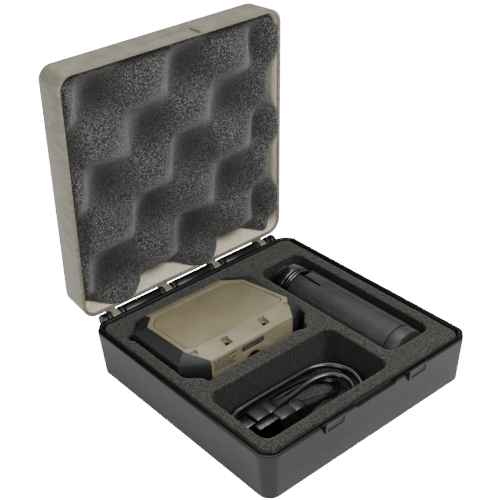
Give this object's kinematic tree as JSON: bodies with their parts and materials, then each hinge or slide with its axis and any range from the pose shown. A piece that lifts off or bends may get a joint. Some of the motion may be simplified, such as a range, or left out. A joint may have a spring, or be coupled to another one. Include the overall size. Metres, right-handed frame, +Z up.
{
  "type": "cased handheld sensor kit",
  "caption": "Hinged hard case open over cut foam holding a tan and black handheld sensor unit, a folded pocket tripod and a coiled USB cable.",
  "frame": {"origin": "centre of the case's flat underside", "axes": "+X along the hinge towards the tripod side, +Y towards the hinge, -Y the opening side, +Z up"},
  "size_m": [0.138, 0.1647, 0.1655],
  "materials": {
    "case_shell": "satin moulded, fine horizontal lines",
    "lid_shell": "translucent smoke, soft gloss",
    "tray_foam": "closed-cell foam, matt with fine grain",
    "lid_foam": "open-cell convoluted foam",
    "tan_shell": "matt moulded",
    "face_plate": "matt moulded",
    "bumper": "fine texture",
    "rear_shell": "fine texture",
    "black_rubber": "matt",
    "steel": "bright",
    "gold_contact": "bright plated",
    "brass": "turned",
    "display_glass": "gloss",
    "circuit_board": "satin",
    "battery_wrap": "satin",
    "leg_shell": "matt",
    "foot_grey": "satin",
    "clip_grey": "satin",
    "head_black": "satin gloss",
    "cable_black": "gloss"
  },
  "bodies": {
    "case_base": {"base_shell": "case_shell", "hinge_pin_1": "steel", "hinge_pin_2": "steel", "hinge_pin_3": "steel", "hinge_pin_4": "steel", "foam_tray": "tray_foam", "foam_floor_pad": "tray_foam"},
    "case_lid": {"lid_shell": "lid_shell", "lid_foam": "lid_foam"},
    "sensor_unit": {"front_cover": "tan_shell", "face_plate": "face_plate", "rear_cover": "rear_shell", "bumper_left": "bumper", "bumper_right": "bumper", "display_lens": "display_glass", "display_panel": "display_glass", "main_board": "circuit_board", "antenna_board": "circuit_board", "battery": "battery_wrap", "cover_gasket": "black_rubber", "usb_receptacle": "steel", "tripod_insert": "brass", "cover_screw_left": "steel", "cover_screw_right": "steel", "rear_screw_left": "steel", "rear_screw_right": "steel"},
    "port_flap": {"port_cover": "black_rubber"},
    "tripod": {"tripod_hub": "head_black", "head_ring": "steel", "leg_pin_upper": "steel", "leg_pin_right": "steel", "leg_pin_lower": "steel", "leg_clip": "clip_grey"},
    "tripod_collar": {"lock_collar": "head_black"},
    "tripod_ball": {"ball_platform": "head_black", "platform_pad": "black_rubber"},
    "tripod_leg_upper": {"leg_upper": "leg_shell", "foot_upper": "foot_grey"},
    "tripod_leg_right": {"leg_right": "leg_shell", "foot_right": "foot_grey"},
    "tripod_leg_lower": {"leg_lower": "leg_shell", "foot_lower": "foot_grey"},
    "usb_cable": {"cable_coil": "cable_black", "cable_run_c": "cable_black", "cable_run_a": "cable_black", "usb_c_shell": "gold_contact", "usb_c_body": "cable_black", "usb_c_relief": "cable_black", "usb_a_shell": "steel", "usb_a_body": "cable_black", "usb_a_relief": "cable_black"},
    "key_1": {"button_1": "black_rubber"},
    "key_2": {"button_2": "black_rubber"},
    "key_3": {"button_3": "black_rubber"},
    "key_4": {"button_4": "black_rubber"}
  },
  "joints": [
    {"name": "lid_hinge", "type": "hinge", "parent": "case_base", "child": "case_lid", "pos_m": [0, 0.0715, 0.025], "axis": [-1, 0, 0], "range_deg": [-88, 22]},
    {"name": "unit_lift", "type": "slide", "parent": "case_base", "child": "sensor_unit", "axis": [0, 0, 1], "range_m": [0, 0.06]},
    {"name": "tripod_lift", "type": "slide", "parent": "case_base", "child": "tripod", "axis": [0, 0, 1], "range_m": [0, 0.3]},
    {"name": "cable_lift", "type": "slide", "parent": "case_base", "child": "usb_cable", "axis": [0, 0, 1], "range_m": [0, 0.04]},
    {"name": "port_hinge", "type": "hinge", "parent": "sensor_unit", "child": "port_flap", "pos_m": [-0.0195, -0.003, 0.02865], "axis": [1, 0, 0], "range_deg": [0, 85]},
    {"name": "collar_turn", "type": "hinge", "parent": "tripod", "child": "tripod_collar", "pos_m": [0.0437, 0.0367, 0.017], "axis": [0, 1, 0], "continuous": true},
    {"name": "ball_tilt", "type": "hinge", "parent": "tripod", "child": "tripod_ball", "pos_m": [0.0437, 0.0388, 0.017], "axis": [1, 0, 0], "range_deg": [-15, 15]},
    {"name": "key_1_press", "type": "slide", "parent": "sensor_unit", "child": "key_1", "axis": [0, 0, 1], "range_m": [0, 0.0005], "stiffness_N_per_m": 500, "springref_m": -0.0005},
    {"name": "key_2_press", "type": "slide", "parent": "sensor_unit", "child": "key_2", "axis": [0, 0, 1], "range_m": [0, 0.0005], "stiffness_N_per_m": 500, "springref_m": -0.0005},
    {"name": "key_3_press", "type": "slide", "parent": "sensor_unit", "child": "key_3", "axis": [0, 0, 1], "range_m": [0, 0.0005], "stiffness_N_per_m": 500, "springref_m": -0.0005},
    {"name": "key_4_press", "type": "slide", "parent": "sensor_unit", "child": "key_4", "axis": [0, 0, 1], "range_m": [0, 0.0005], "stiffness_N_per_m": 500, "springref_m": -0.0005},
    {"name": "leg_upper_spread", "type": "hinge", "parent": "tripod", "child": "tripod_leg_upper", "pos_m": [0.03757, 0.0243, 0.02214], "axis": [-0.6428, 0, -0.766], "range_deg": [0, 18]},
    {"name": "leg_right_spread", "type": "hinge", "parent": "tripod", "child": "tripod_leg_right", "pos_m": [0.05122, 0.0243, 0.01974], "axis": [-0.342, 0, 0.9397], "range_deg": [0, 18]},
    {"name": "leg_lower_spread", "type": "hinge", "parent": "tripod", "child": "tripod_leg_lower", "pos_m": [0.04231, 0.0243, 0.00912], "axis": [0.9848, 0, -0.1736], "range_deg": [0, 18]}
  ],
  "couplings": [
    {"joint": "leg_upper_spread", "follows": "tripod_lift", "rad_per_m": 1.047},
    {"joint": "leg_right_spread", "follows": "tripod_lift", "rad_per_m": 1.047},
    {"joint": "leg_lower_spread", "follows": "tripod_lift", "rad_per_m": 1.047}
  ]
}
